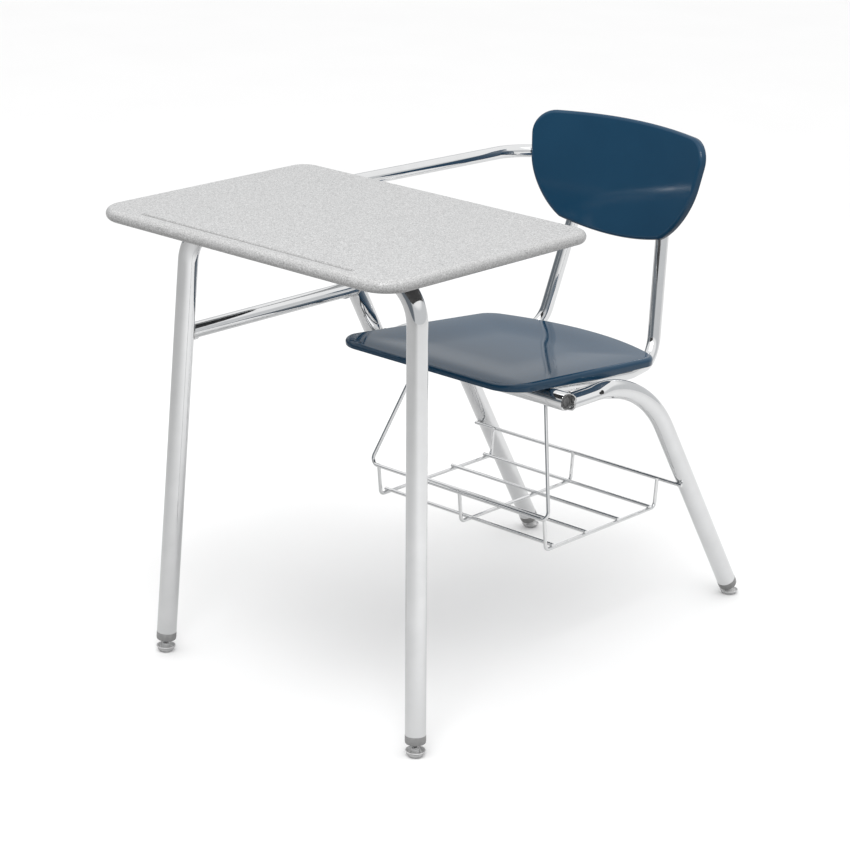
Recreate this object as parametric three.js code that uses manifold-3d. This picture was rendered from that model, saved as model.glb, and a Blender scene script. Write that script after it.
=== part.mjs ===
// Student combination desk: hard plastic desktop, moulded seat and backrest and a wire book
// basket on one frame of bent steel tube.
// Millimetres, +Z up. The origin is on the floor, under the middle of the object's box.
// The student faces -Y: the desktop is at -Y, the seat at +Y, the student's left side is +X.
import * as THREE from 'three';
import { mergeVertices } from 'three/addons/utils/BufferGeometryUtils.js';
import Module from 'manifold-3d';

const wasm = await Module();
wasm.setup();

// ---- driving dimensions -------------------------------------------------------------------
const GAP = 0.3;                 // space kept between touching pieces

const DESK = {
  width: 610, depth: 457, top: 758, thick: 19, frontY: -499.6, frontCorner: 50, rearCorner: 33, edge: 9.2,
};
const GROOVE = { length: 440, width: 8, depth: 2.5, fromFront: 24 };

const LEG_R = 15.875;            // 1-1/4 in tube: legs and side support
const BAR_R = 14.3;              // 1-1/8 in tube: seat crossbar
const BRACE_R = 12.7;            // 1 in tube: side brace
const RAIL_R = 11.1;             // 7/8 in tube: seat rails, back uprights and arm
const WALL = 1.65;
const BORE_SIDES = 12;           // flats round the inside of a tube
const BORE_PLAY = 0.9;           // play of a part pushed into a tube

const FRONT_LEG = { floorX: 276.1, floorY: -382.6, slopeX: -0.0545, slopeY: 0.0305, bend: 66 };
const REAR_LEG = { floorX: 226.3, floorY: 490.8, slopeX: -0.0206, slopeY: -0.6117, bend: 215 };
const SEAT_BAR = { y: 14.4, z: 455, half: 220 };
const REAR_RUN_Z = 453;          // height of the rear legs' level front run
const FLAT_END = { length: 74, blend: 26, wider: 1.2, lower: 0.7 };

const SUPPORT = { refY: 70.8, refZ: 460, slopeY: -0.5586, lowZ: 436, frontY: -248, bend: 60 };
const BRACE_Z = 543.5;
const ARM = { frontX: -249, frontY: -95, bendX: -218, bendY: 420.4, bend: 85, endX: -80, endY: 430.4 };

const RAIL = { x: 150, frontZ: 455, kinkY: 265.4, kinkZ: 432.5, cornerZ: 426 };
const UPRIGHT = { refX: 119.6, refY: 367.5, refZ: 450, slopeX: -0.136, slopeY: 0.2267, topZ: 786 };

const SEAT = {
  frontHalf: 191, rearHalf: 185, frontY: -86.6, rearSideY: 291.5, rearY: 345,
  frontZ: 494, rearZ: 457.4, frontCorner: 47, rearCorner: 24,
  wall: 5, dish: 4, skirt: 14.8, frontSkirt: 9.5, sag: 3.4, sagY: 139, sagSpread: 75,
  lip: 50, lipDrop: 4.5,
};
const BACK = {
  topHalf: 185, lowHalf: 164, topZ: 811, topSideZ: 805, lowZ: 617, lowSideZ: 664,
  topCorner: 42, lowCorner: 66, y: 395.4, atZ: 650, lean: 0.222, bow: 0.00112, wall: 5, skirt: 13,
};

const FOOT = { pivot: 11.5, collarLow: 21.3, collarHigh: 34.3, collarR: 16.1, baseR: 15.9, ball: 5 };

const BASKET = {
  frontY: 11.9, frontZ: 248.2, frontHalf: 195.3, hangHalf: 137, hangY: 63.4, hangZ: 431,
  railY: 321.2, railZ: 240.5, railHalf: 229, railR: 3.1, ribR: 3, ribX: 181.5, ribZ: 192.5,
  ribBend: 9, rodHalf: 185, rodFrontY: 39.4, rodPitch: 85, rods: 4,
};

// ---- materials ----------------------------------------------------------------------------
const paint = (color, roughness, metalness) =>
  new THREE.MeshStandardMaterial({ color, roughness, metalness });
const CHROME = paint(0xd9dbdd, 0.08, 1);
const NAVY = paint(0x1f3f5e, 0.22, 0);
const TOP_GREY = paint(0xd3d3d1, 0.45, 0);
const GREY_PLASTIC = paint(0x7b7d7c, 0.5, 0);
const BLACK_PLASTIC = paint(0x2a2b2d, 0.5, 0);
const ZINC = paint(0x9fa1a3, 0.3, 1);

// ---- small tools --------------------------------------------------------------------------
const group = new THREE.Group();
const V = (x, y, z) => new THREE.Vector3(x, y, z);

function add(name, geometry, material) {
  const mesh = new THREE.Mesh(geometry, material);
  mesh.name = name;
  group.add(mesh);
  return mesh;
}

// A path of straight runs joined by round bends, with its steps only where the path turns. A bend
// of radius 0 is a step on a straight run.
class BentPath extends THREE.Curve {
  constructor(corners, bends, stepAngle) {
    super();
    this.stations = [{ point: corners[0], tangent: corners[1].clone().sub(corners[0]).normalize() }];
    for (let i = 1; i < corners.length - 1; i += 1) {
      this.addBend(corners[i - 1], corners[i], corners[i + 1], bends[i - 1], stepAngle);
    }
    const [before, last] = corners.slice(-2);
    this.stations.push({ point: last, tangent: last.clone().sub(before).normalize() });
  }

  addBend(before, corner, after, radius, stepAngle) {
    const into = corner.clone().sub(before).normalize();
    if (radius === 0) {
      this.stations.push({ point: corner, tangent: into });
      return;
    }
    const out = after.clone().sub(corner).normalize();
    const turn = into.angleTo(out);
    const start = corner.clone().addScaledVector(into, -radius * Math.tan(turn / 2));
    const axis = into.clone().cross(out).normalize();
    const inward = axis.clone().cross(into);
    const centre = start.clone().addScaledVector(inward, radius);
    const steps = Math.max(2, Math.ceil(THREE.MathUtils.radToDeg(turn) / stepAngle));
    for (let k = 0; k <= steps; k += 1) {
      const angle = (turn * k) / steps;
      const point = inward.clone().multiplyScalar(-radius).applyAxisAngle(axis, angle).add(centre);
      this.stations.push({ point, tangent: into.clone().applyAxisAngle(axis, angle) });
    }
  }

  get steps() { return this.stations.length - 1; }
  stationAt(u) { return this.stations[Math.round(u * this.steps)]; }
  getPointAt(u, target = new THREE.Vector3()) { return target.copy(this.stationAt(u).point); }
  getTangentAt(u, target = new THREE.Vector3()) { return target.copy(this.stationAt(u).tangent); }
}

function ring(radius, sides) {
  return Array.from({ length: sides }, (_, k) => {
    const angle = (2 * Math.PI * k) / sides;
    return new THREE.Vector2(radius * Math.cos(angle), radius * Math.sin(angle));
  });
}

// A round bar along a path, or a tube when it has a wall.
function bar(corners, bends, radius, wall = 0, sides = 16, stepAngle = 15) {
  const section = new THREE.Shape(ring(radius, sides));
  if (wall > 0) section.holes.push(new THREE.Path(ring(radius - wall, BORE_SIDES).reverse()));
  const path = new BentPath(corners, bends, stepAngle);
  return new THREE.ExtrudeGeometry(section, { steps: path.steps, extrudePath: path });
}

function signedVolume(geometry) {
  const flat = geometry.index ? geometry.toNonIndexed() : geometry;
  const p = flat.attributes.position;
  const [a, b, c] = [V(0, 0, 0), V(0, 0, 0), V(0, 0, 0)];
  let volume = 0;
  for (let i = 0; i < p.count; i += 3) {
    a.fromBufferAttribute(p, i);
    b.fromBufferAttribute(p, i + 1);
    c.fromBufferAttribute(p, i + 2);
    volume += a.dot(b.cross(c)) / 6;
  }
  return volume;
}

// The same surface as merged triangles whose faces point out.
function closed(geometry) {
  const bare = geometry.clone();
  bare.deleteAttribute('normal');
  bare.deleteAttribute('uv');
  const merged = mergeVertices(bare, 1e-3);
  const kept = [];
  const index = merged.index.array;
  const flip = signedVolume(merged) < 0;
  for (let i = 0; i < index.length; i += 3) {
    const [a, b, c] = index.slice(i, i + 3);
    if (a !== b && b !== c && c !== a) kept.push(...(flip ? [a, c, b] : [a, b, c]));
  }
  merged.setIndex(kept);
  return merged;
}

function toSolid(geometry) {
  const mesh = closed(geometry);
  const vertProperties = new Float32Array(mesh.attributes.position.array);
  const triVerts = new Uint32Array(mesh.index.array);
  return new wasm.Manifold(new wasm.Mesh({ numProp: 3, vertProperties, triVerts }));
}

function toGeometry(solid) {
  const mesh = solid.getMesh();
  const geometry = new THREE.BufferGeometry();
  geometry.setAttribute('position', new THREE.BufferAttribute(mesh.vertProperties, 3));
  geometry.setIndex(new THREE.BufferAttribute(mesh.triVerts, 1));
  geometry.computeVertexNormals();
  return geometry;
}

function cut(geometry, ...tools) {
  const left = tools.reduce((solid, tool) => solid.subtract(toSolid(tool)), toSolid(geometry));
  return toGeometry(left);
}

function join(geometry, ...others) {
  return toGeometry(others.reduce((solid, other) => solid.add(toSolid(other)), toSolid(geometry)));
}

// A straight round bar between two points.
const pin = (from, to, radius, sides = 16) => bar([from, to], [], radius, 0, sides);

// A turned piece: profile of [radius, height] pairs from axis to axis, standing on `base`
// with its own axis along `direction`.
function turned(profile, base, direction, sides = 20) {
  const points = profile.map(([radius, height]) => new THREE.Vector2(radius, height));
  const geometry = new THREE.LatheGeometry(points, sides);
  const turn = new THREE.Quaternion().setFromUnitVectors(V(0, 1, 0), direction.clone().normalize());
  geometry.applyQuaternion(turn);
  geometry.translate(base.x, base.y, base.z);
  return closed(geometry);
}

const mirrored = (points) => points.map((p) => V(-p.x, p.y, p.z));
const onSide = (side, points) => (side > 0 ? points : mirrored(points));

// ---- places on the frame ------------------------------------------------------------------
const deskUnder = DESK.top - DESK.thick;
const frameTopZ = deskUnder - GAP - LEG_R;
const frontLegAt = (side, z) => V(
  side * (FRONT_LEG.floorX + FRONT_LEG.slopeX * z),
  FRONT_LEG.floorY + FRONT_LEG.slopeY * z,
  z,
);
const rearLegAt = (side, z) => V(
  side * (REAR_LEG.floorX + REAR_LEG.slopeX * z),
  REAR_LEG.floorY + REAR_LEG.slopeY * z,
  z,
);
const uprightAt = (side, z) => V(
  side * (UPRIGHT.refX + UPRIGHT.slopeX * (z - UPRIGHT.refZ)),
  UPRIGHT.refY + UPRIGHT.slopeY * (z - UPRIGHT.refZ),
  z,
);
const railAt = (side, y) => V(
  side * RAIL.x,
  y,
  THREE.MathUtils.mapLinear(y, SEAT_BAR.y, RAIL.kinkY, RAIL.frontZ, RAIL.kinkZ),
);
// the point on a leg's axis at a distance from the floor, measured along the leg
function alongLeg(legAt, side, distance) {
  const foot = legAt(side, 0);
  const up = legAt(side, 1).sub(foot).normalize();
  return foot.addScaledVector(up, distance);
}

// ---- desktop ------------------------------------------------------------------------------
function roundedRectangle(width, depth, front, rear) {
  const [x, y] = [width / 2, depth / 2];
  const shape = new THREE.Shape();
  shape.absarc(x - rear, y - rear, rear, 0, Math.PI / 2);
  shape.absarc(-x + rear, y - rear, rear, Math.PI / 2, Math.PI);
  shape.absarc(-x + front, -y + front, front, Math.PI, 1.5 * Math.PI);
  shape.absarc(x - front, -y + front, front, 1.5 * Math.PI, 2 * Math.PI);
  return shape;
}

const DESK_SCREW_BITE = 12;
const SCREW = { shank: 2.4, hole: 2.7, head: 5, headHigh: 3 };
const frontScrews = [-165, -60, 60, 165].map((x) => V(x, frontLegAt(1, frameTopZ).y, frameTopZ));
const supportX = -(rearLegAt(1, REAR_RUN_Z).x + 2 * LEG_R + 2 * GAP);
const supportScrews = [-147, -212].map((y) => V(supportX, y, frameTopZ));
const deskScrews = [...frontScrews, ...supportScrews];

function desktop() {
  const { width, depth, edge, frontCorner, rearCorner, thick, frontY } = DESK;
  const inner = roundedRectangle(
    width - 2 * edge, depth - 2 * edge, frontCorner - edge, rearCorner - edge,
  );
  const settings = {
    depth: thick - 2 * edge, bevelThickness: edge, bevelSize: edge, bevelSegments: 4, curveSegments: 4,
  };
  const slab = new THREE.ExtrudeGeometry(inner, settings);
  slab.translate(0, frontY + depth / 2, deskUnder + edge);
  const grooveLine = [-1, 1].map((s) => (s * (GROOVE.length - GROOVE.width)) / 2);
  const grooveShape = new THREE.Shape();
  grooveShape.absarc(grooveLine[1], 0, GROOVE.width / 2, -Math.PI / 2, Math.PI / 2);
  grooveShape.absarc(grooveLine[0], 0, GROOVE.width / 2, Math.PI / 2, 1.5 * Math.PI);
  const groove = new THREE.ExtrudeGeometry(grooveShape, {
    depth: 2 * GROOVE.depth, bevelEnabled: false, curveSegments: 4,
  });
  groove.translate(0, frontY + GROOVE.fromFront, DESK.top - GROOVE.depth);
  const bites = deskScrews.map((p) => pin(
    V(p.x, p.y, deskUnder - 2), V(p.x, p.y, deskUnder + DESK_SCREW_BITE + GAP), SCREW.hole, 10,
  ));
  return cut(slab, groove, ...bites);
}
add('desktop', desktop(), TOP_GREY);

// ---- front leg frame: one tube, up, across under the desktop and down ---------------------
function drilled(tube, points, direction, reach) {
  const holes = points.map((p) => pin(
    p.clone().addScaledVector(direction, -reach), p.clone().addScaledVector(direction, reach),
    SCREW.hole, 10,
  ));
  return cut(tube, ...holes);
}
const UP = V(0, 0, 1);
const BACKWARD = V(0, 1, 0);

const frontCorners = [
  alongLeg(frontLegAt, -1, FOOT.collarHigh + GAP),
  frontLegAt(-1, frameTopZ),
  frontLegAt(1, frameTopZ),
  alongLeg(frontLegAt, 1, FOOT.collarHigh + GAP),
];
const frontTube = bar(frontCorners, [FRONT_LEG.bend, FRONT_LEG.bend], LEG_R, WALL);
add('front_leg_frame', drilled(frontTube, frontScrews, UP, LEG_R + 2), CHROME);

// ---- seat crossbar and its end plugs ------------------------------------------------------
const barEnds = [V(-SEAT_BAR.half, SEAT_BAR.y, SEAT_BAR.z), V(SEAT_BAR.half, SEAT_BAR.y, SEAT_BAR.z)];
add('seat_crossbar', bar(barEnds, [], BAR_R, WALL, 20), CHROME);

// A push-in plug with a rim that covers the tube's end and a shallow dish in its face.
function endPlug(end, outward, tubeR, wall) {
  const fit = tubeR - wall - BORE_PLAY;
  const profile = [
    [0, -14], [fit, -14], [fit, GAP], [tubeR - 0.4, GAP], [tubeR - 0.8, 2], [tubeR - 3.5, 2.4],
    [tubeR - 5, 0.6], [0, 0.6],
  ];
  return turned(profile, end, outward, 16);
}
add('crossbar_plug_right', endPlug(barEnds[0], V(-1, 0, 0), BAR_R, WALL), BLACK_PLASTIC);
add('crossbar_plug_left', endPlug(barEnds[1], V(1, 0, 0), BAR_R, WALL), BLACK_PLASTIC);

// ---- rear legs: foot, long bend, level run pressed flat where it meets the crossbar -------
// `inward` is the way the middle moves so that the outer side stays straight, 0 for both sides wider
function pressFlat(geometry, axisX, axisZ, startY, inward) {
  const p = geometry.attributes.position;
  const wider = FLAT_END.wider;
  for (let i = 0; i < p.count; i += 1) {
    const t = THREE.MathUtils.smoothstep(p.getY(i), startY + FLAT_END.length - FLAT_END.blend,
      startY + FLAT_END.length + FLAT_END.blend);
    if (p.getZ(i) > axisZ - 2 * LEG_R) {
      const shift = THREE.MathUtils.lerp(inward * (wider - 1) * LEG_R, 0, t);
      p.setX(i, axisX + (p.getX(i) - axisX) * THREE.MathUtils.lerp(wider, 1, t) + shift);
      p.setZ(i, axisZ + (p.getZ(i) - axisZ) * THREE.MathUtils.lerp(FLAT_END.lower, 1, t));
    }
  }
  return geometry;
}

const legFrontY = SEAT_BAR.y + BAR_R + 2 * GAP;
function rearLeg(side) {
  const corner = rearLegAt(side, REAR_RUN_Z);
  const front = V(corner.x, legFrontY, REAR_RUN_Z);
  const flatEnd = V(corner.x, legFrontY + FLAT_END.length - FLAT_END.blend, REAR_RUN_Z);
  const foot = alongLeg(rearLegAt, side, FOOT.collarHigh + GAP);
  const tube = bar([front, flatEnd, corner, foot], [0, REAR_LEG.bend], LEG_R, WALL, 16, 8);
  return closed(pressFlat(tube, corner.x, REAR_RUN_Z, legFrontY, side < 0 ? 1 : 0));
}

// ---- side support: from the side of the right rear leg up to the desktop, forward under it --
const supportAt = (z) => V(supportX, SUPPORT.refY + SUPPORT.slopeY * (z - SUPPORT.refZ), z);
const supportCorners = [
  supportAt(SUPPORT.lowZ), supportAt(frameTopZ), V(supportX, SUPPORT.frontY, frameTopZ),
];
const supportTube = bar(supportCorners, [SUPPORT.bend], LEG_R, WALL);
const supportSolid = bar(supportCorners, [SUPPORT.bend], LEG_R + GAP);

add('left_rear_leg', rearLeg(1), CHROME);
add('right_rear_leg', rearLeg(-1), CHROME);
add('side_support_tube', drilled(supportTube, supportScrews, UP, LEG_R + 2), CHROME);
const downSupport = supportAt(0).sub(supportAt(1)).normalize();
add('support_plug_rear', endPlug(supportCorners[0], downSupport, LEG_R, WALL), BLACK_PLASTIC);
add('support_plug_front', endPlug(supportCorners[2], V(0, -1, 0), LEG_R, WALL), BLACK_PLASTIC);

// ---- side brace, shaped at both ends to the tubes it is welded to -------------------------
function sideBrace() {
  const leg = frontLegAt(-1, BRACE_Z);
  const supportY = supportAt(BRACE_Z).y;
  const tube = bar([V(leg.x, leg.y + 4, BRACE_Z), V(leg.x, supportY - 4, BRACE_Z)], [], BRACE_R, WALL);
  const legSolid = pin(frontLegAt(-1, BRACE_Z - 60), frontLegAt(-1, BRACE_Z + 60), LEG_R + GAP, 24);
  return cut(tube, legSolid, supportSolid);
}
add('side_brace', sideBrace(), CHROME);

// ---- seat rails with back uprights, one bent tube on each side ----------------------------
function backFrame(side) {
  const corners = [
    V(RAIL.x, legFrontY, railAt(1, legFrontY).z),
    railAt(1, RAIL.kinkY),
    uprightAt(1, RAIL.cornerZ),
    uprightAt(1, UPRIGHT.topZ),
  ];
  return { ends: onSide(side, corners), tube: bar(onSide(side, corners), [90, 52], RAIL_R, WALL, 14) };
}

const SEAT_SCREW_Y = [103, 228];
const BACK_SCREW_Z = [664, 742];
const sides = [{ side: 1, word: 'left' }, { side: -1, word: 'right' }];
for (const { side, word } of sides) {
  const { ends, tube } = backFrame(side);
  const seatHoles = SEAT_SCREW_Y.map((y) => pin(
    railAt(side, y).addScaledVector(UP, -20), railAt(side, y).addScaledVector(UP, 20), SCREW.hole, 10,
  ));
  const backHoles = BACK_SCREW_Z.map((z) => pin(
    uprightAt(side, z).addScaledVector(BACKWARD, -20), uprightAt(side, z).addScaledVector(BACKWARD, 20),
    SCREW.hole, 10,
  ));
  add(`${word}_back_frame`, cut(tube, ...seatHoles, ...backHoles), CHROME);
  const outward = ends[3].clone().sub(ends[2]).normalize();
  add(`${word}_upright_plug`, endPlug(ends[3], outward, RAIL_R, WALL), BLACK_PLASTIC);
}

// ---- arm from the side support, past the sitter, round to the right upright ---------------
function armTube() {
  const z = deskUnder - RAIL_R - 2 * GAP;
  const corners = [V(ARM.frontX, ARM.frontY, z), V(ARM.bendX, ARM.bendY, z), V(ARM.endX, ARM.endY, z)];
  const tube = bar(corners, [ARM.bend], RAIL_R, WALL, 14);
  const upright = pin(uprightAt(-1, z - 60), uprightAt(-1, z + 50), RAIL_R + GAP, 24);
  return cut(tube, supportSolid, upright);
}
add('arm_tube', armTube(), CHROME);

const OUTLINE_STEPS = 6;         // points on each curve of a shell's outline

// ---- moulded shells -----------------------------------------------------------------------
// corner rounded by a quadratic curve whose ends are `cut` away from the corner
function softCorner(shape, from, corner, to, away) {
  const start = corner.clone().add(from.clone().sub(corner).setLength(away));
  const end = corner.clone().add(to.clone().sub(corner).setLength(away));
  shape.lineTo(start.x, start.y);
  shape.bezierCurveTo(
    ...start.clone().lerp(corner, 0.56).toArray(), ...end.clone().lerp(corner, 0.56).toArray(),
    end.x, end.y,
  );
}

// A four-cornered outline, wider at one end, with both ends bowed out by `bow` in the middle.
function shellOutline(low, high) {
  const p = (x, y) => new THREE.Vector2(x, y);
  const [a, b] = [p(-low.half, low.side), p(low.half, low.side)];
  const [c, d] = [p(high.half, high.side), p(-high.half, high.side)];
  const [lowMid, highMid] = [p(0, 2 * low.middle - low.side), p(0, 2 * high.middle - high.side)];
  const shape = new THREE.Shape();
  shape.moveTo(d.x + (a.x - d.x) / 2, (a.y + d.y) / 2);
  softCorner(shape, d, a, lowMid, low.corner);
  const lowEnd = b.clone().add(lowMid.clone().sub(b).setLength(low.corner));
  shape.quadraticCurveTo(0, 2 * low.middle - lowEnd.y, lowEnd.x, lowEnd.y);
  softCorner(shape, lowMid, b, c, low.corner);
  softCorner(shape, b, c, highMid, high.corner);
  const highEnd = d.clone().add(highMid.clone().sub(d).setLength(high.corner));
  shape.quadraticCurveTo(0, 2 * high.middle - highEnd.y, highEnd.x, highEnd.y);
  softCorner(shape, highMid, d, a, high.corner);
  return shape.getPoints(OUTLINE_STEPS).slice(0, -1);
}

// A turned bowl whose circle is stretched to the outline; `place` sets each point in space from
// its two outline coordinates, its depth and its share of the way out to the edge.
function shell(profile, outline, middle, place) {
  const rings = profile.map(([share, depth]) => new THREE.Vector2(share, depth));
  const geometry = new THREE.LatheGeometry(rings, outline.length);
  const p = geometry.attributes.position;
  for (let i = 0; i < p.count; i += 1) {
    const edge = outline[Math.floor(i / rings.length) % outline.length];
    const [share, depth] = profile[i % rings.length];
    const q = middle.clone().lerp(edge, share);
    const point = place(q.x, q.y, depth, share);
    p.setXYZ(i, point.x, point.y, point.z);
  }
  return closed(geometry);
}

// ---- seat: shallow dish, skirt all round, front edge rolled down --------------------------
const seatOutline = shellOutline(
  { half: SEAT.frontHalf, side: SEAT.frontY, middle: SEAT.frontY, corner: SEAT.frontCorner },
  { half: SEAT.rearHalf, side: SEAT.rearSideY, middle: SEAT.rearY, corner: SEAT.rearCorner },
);
const seatMiddle = new THREE.Vector2(0, (SEAT.frontY + SEAT.rearY) / 2);

// `depth` is how far the point lies below the seat's top skin
function seatPoint(x, y, depth, share) {
  const { frontY, rearY, frontZ, rearZ, dish, lip, lipDrop, skirt, frontSkirt } = SEAT;
  const { sag, sagY, sagSpread } = SEAT;
  const plane = THREE.MathUtils.mapLinear(y, frontY, rearY, frontZ, rearZ);
  const hollow = dish * (1 - THREE.MathUtils.smoothstep(share, 0.45, 0.97));
  const toFront = THREE.MathUtils.clamp((frontY + lip - y) / lip, 0, 1);
  const deeper = 1 + (sag / skirt) * Math.exp(-(((y - sagY) / sagSpread) ** 2));
  const squeeze = THREE.MathUtils.lerp(1, frontSkirt / skirt, toFront);
  return V(x, y, plane - hollow - lipDrop * toFront ** 2 + depth * deeper * squeeze);
}

function seatShell() {
  const { wall, skirt } = SEAT;
  const profile = [
    [0, 0], [0.45, 0], [0.7, 0], [0.88, 0], [0.97, -1], [1, -6], [1, -skirt], [0.977, -skirt],
    [0.965, -wall - 2], [0.9, -wall], [0.6, -wall], [0, -wall],
  ];
  const skin = shell(profile, seatOutline, seatMiddle, seatPoint);
  const bosses = [];
  const pilots = [];
  for (const { side } of sides) {
    for (const y of SEAT_SCREW_Y) {
      const rail = railAt(side, y);
      const foot = V(rail.x, y, rail.z + RAIL_R + GAP + 0.6);
      const skinZ = seatPoint(rail.x, y, 0, 0.8).z;
      bosses.push(pin(foot, V(rail.x, y, skinZ - wall / 2), 8, 14));
      pilots.push(pin(V(rail.x, y, foot.z - 2), V(rail.x, y, foot.z + 8), SCREW.hole, 10));
    }
  }
  return cut(join(skin, ...bosses), ...pilots);
}
add('seat_shell', seatShell(), NAVY);

// ---- backrest: bowed across, leaning back, skirt towards the rear -------------------------
const backOutline = shellOutline(
  { half: BACK.lowHalf, side: BACK.lowSideZ, middle: BACK.lowZ, corner: BACK.lowCorner },
  { half: BACK.topHalf, side: BACK.topSideZ, middle: BACK.topZ, corner: BACK.topCorner },
);
const backMiddle = new THREE.Vector2(0, (BACK.lowZ + BACK.topZ) / 2);
const backSkinY = (x, z) => BACK.y + BACK.lean * (z - BACK.atZ) - BACK.bow * x * x;

// `depth` is negative behind the front skin
function backPoint(x, z, depth) {
  const normal = V(2 * BACK.bow * x, 1, -BACK.lean).normalize();
  return V(x, backSkinY(x, z), z).addScaledVector(normal, -depth);
}

function backShell() {
  const { wall, skirt } = BACK;
  const profile = [
    [0, 0], [0.4, 0], [0.7, 0], [0.9, 0], [0.975, -1.4], [1, -6], [0.995, -skirt],
    [0.965, -skirt], [0.95, -wall - 2], [0.85, -wall], [0.45, -wall], [0, -wall],
  ];
  const skin = shell(profile, backOutline, backMiddle, backPoint);
  const bosses = [];
  const pilots = [];
  for (const { side } of sides) {
    for (const z of BACK_SCREW_Z) {
      const tube = uprightAt(side, z);
      const rear = tube.y - RAIL_R - GAP - 2.4;
      const front = backSkinY(tube.x, z) + wall / 2;
      bosses.push(pin(V(tube.x, front, z), V(tube.x, rear, z), 8, 14));
      pilots.push(pin(V(tube.x, rear - 8, z), V(tube.x, rear + 2, z), SCREW.hole, 10));
    }
  }
  return cut(join(skin, ...bosses), ...pilots);
}
add('backrest_shell', backShell(), NAVY);

// ---- screws -------------------------------------------------------------------------------
// Pan head whose bearing face is at `underHead`, with a shank of the given length along `direction`.
function screw(underHead, direction, length) {
  const { shank, head, headHigh } = SCREW;
  const profile = [
    [0, -headHigh], [head * 0.7, -headHigh * 0.9], [head, -headHigh * 0.4], [head, 0],
    [shank, 0], [shank, length - 2], [0, length],
  ];
  return turned(profile, underHead, direction, 8);
}

deskScrews.forEach((p, i) => {
  const head = V(p.x, p.y, p.z - LEG_R - GAP);
  const reach = deskUnder + DESK_SCREW_BITE - head.z;
  add(`desk_screw_${i + 1}`, screw(head, UP, reach), ZINC);
});
for (const { side, word } of sides) {
  SEAT_SCREW_Y.forEach((y, i) => {
    const rail = railAt(side, y);
    const head = V(rail.x, y, rail.z - RAIL_R - 2 * GAP);
    add(`seat_screw_${word}_${i + 1}`, screw(head, UP, 2 * RAIL_R + 7), ZINC);
  });
  BACK_SCREW_Z.forEach((z, i) => {
    const tube = uprightAt(side, z);
    const head = V(tube.x, tube.y + RAIL_R + 5 * GAP, z);
    add(`back_screw_${word}_${i + 1}`, screw(head, V(0, -1, 0), 2 * RAIL_R + 9), ZINC);
  });
}

// ---- feet: plastic collar in the tube, ball stud, self-levelling glide --------------------
function footCollar(foot, up) {
  const bore = 4.4;
  const sleeve = LEG_R - WALL - BORE_PLAY;
  const { collarLow: low, collarHigh: high, collarR: wide } = FOOT;
  const profile = [
    [bore, low], [wide - 1, low], [wide, low + 1], [wide, high], [sleeve, high],
    [sleeve, high + 16], [bore, high + 16], [bore, low],
  ];
  return turned(profile, foot, up, 18);
}

function ballStud(foot, up, pivot) {
  const { ball, collarLow, collarHigh } = FOOT;
  const arc = [0, 1, 2, 3, 4].map((k) => {
    const angle = -Math.PI / 2 + (k * (Math.PI / 2 + Math.acos(2.2 / ball))) / 4;
    return [ball * Math.cos(angle), pivot + ball * Math.sin(angle)];
  });
  arc[0][0] = 0;
  const profile = [
    ...arc, [2.2, pivot + 6.4], [7, pivot + 6.5], [7, collarLow - GAP], [4, collarLow - GAP],
    [4, collarHigh + 10], [0, collarHigh + 10],
  ];
  return turned(profile, foot, up, 12);
}

function glideBase(pivot) {
  const { baseR, ball, pivot: high } = FOOT;
  const socket = ball + 0.4;
  const openAngle = THREE.MathUtils.degToRad(66);
  const cup = [0, 1, 2, 3].map((k) => {
    const angle = openAngle + ((Math.PI - openAngle) * k) / 3;
    return [socket * Math.sin(angle), high + socket * Math.cos(angle)];
  });
  cup[3][0] = 0;
  const profile = [
    [0, 0], [baseR - 1.4, 0], [baseR, 2], [baseR, 5.8], [13, 9.3], [6.2, high + 2.1], ...cup,
  ];
  return turned(profile, V(pivot.x, pivot.y, 0), UP, 20);
}

const feet = [
  { name: 'front_left', legAt: frontLegAt, side: 1 },
  { name: 'front_right', legAt: frontLegAt, side: -1 },
  { name: 'rear_left', legAt: rearLegAt, side: 1 },
  { name: 'rear_right', legAt: rearLegAt, side: -1 },
];
for (const { name, legAt, side } of feet) {
  const foot = legAt(side, 0);
  const up = legAt(side, 1).sub(foot).normalize();
  const pivotAlong = FOOT.pivot / up.z;
  add(`collar_${name}`, footCollar(foot, up), GREY_PLASTIC);
  add(`ball_stud_${name}`, ballStud(foot, up, pivotAlong), ZINC);
  add(`glide_${name}`, glideBase(alongLeg(legAt, side, pivotAlong)), ZINC);
}

// ---- book basket of welded wire -----------------------------------------------------------
function basketHanger() {
  const { hangHalf, hangY, hangZ, frontHalf, frontY, frontZ, railR } = BASKET;
  const right = [V(-hangHalf, hangY, hangZ), V(-frontHalf, frontY, frontZ)];
  return bar([...right, ...mirrored(right).reverse()], [12, 12], railR, 0, 10);
}

function basketRib(x) {
  const { frontY, frontZ, railY, railZ, railR, ribR, ribZ, ribBend } = BASKET;
  const beside = railR + ribR + GAP;
  const corners = [
    V(x, frontY + beside, frontZ), V(x, frontY + beside + 7, ribZ),
    V(x, railY - beside - 4, ribZ), V(x, railY - beside, railZ + 2),
  ];
  return bar(corners, [ribBend, ribBend], ribR, 0, 8);
}

const { railHalf, railY, railZ, railR, ribR, ribX, ribZ, rodHalf, rodFrontY, rodPitch, rods } = BASKET;
add('basket_hanger', basketHanger(), CHROME);
add('basket_rear_rail', pin(V(-railHalf, railY, railZ), V(railHalf, railY, railZ), railR, 12), CHROME);
[['left', ribX], ['middle', 0], ['right', -ribX]].forEach(([word, x]) => {
  add(`basket_rib_${word}`, basketRib(x), CHROME);
});
for (let i = 0; i < rods; i += 1) {
  const y = rodFrontY + i * rodPitch;
  const z = ribZ + 2 * ribR + GAP;
  add(`basket_rod_${i + 1}`, pin(V(-rodHalf, y, z), V(rodHalf, y, z), ribR, 8), CHROME);
}

export default group;
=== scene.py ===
import math

import bpy
import numpy as np
from mathutils import Matrix


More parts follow.
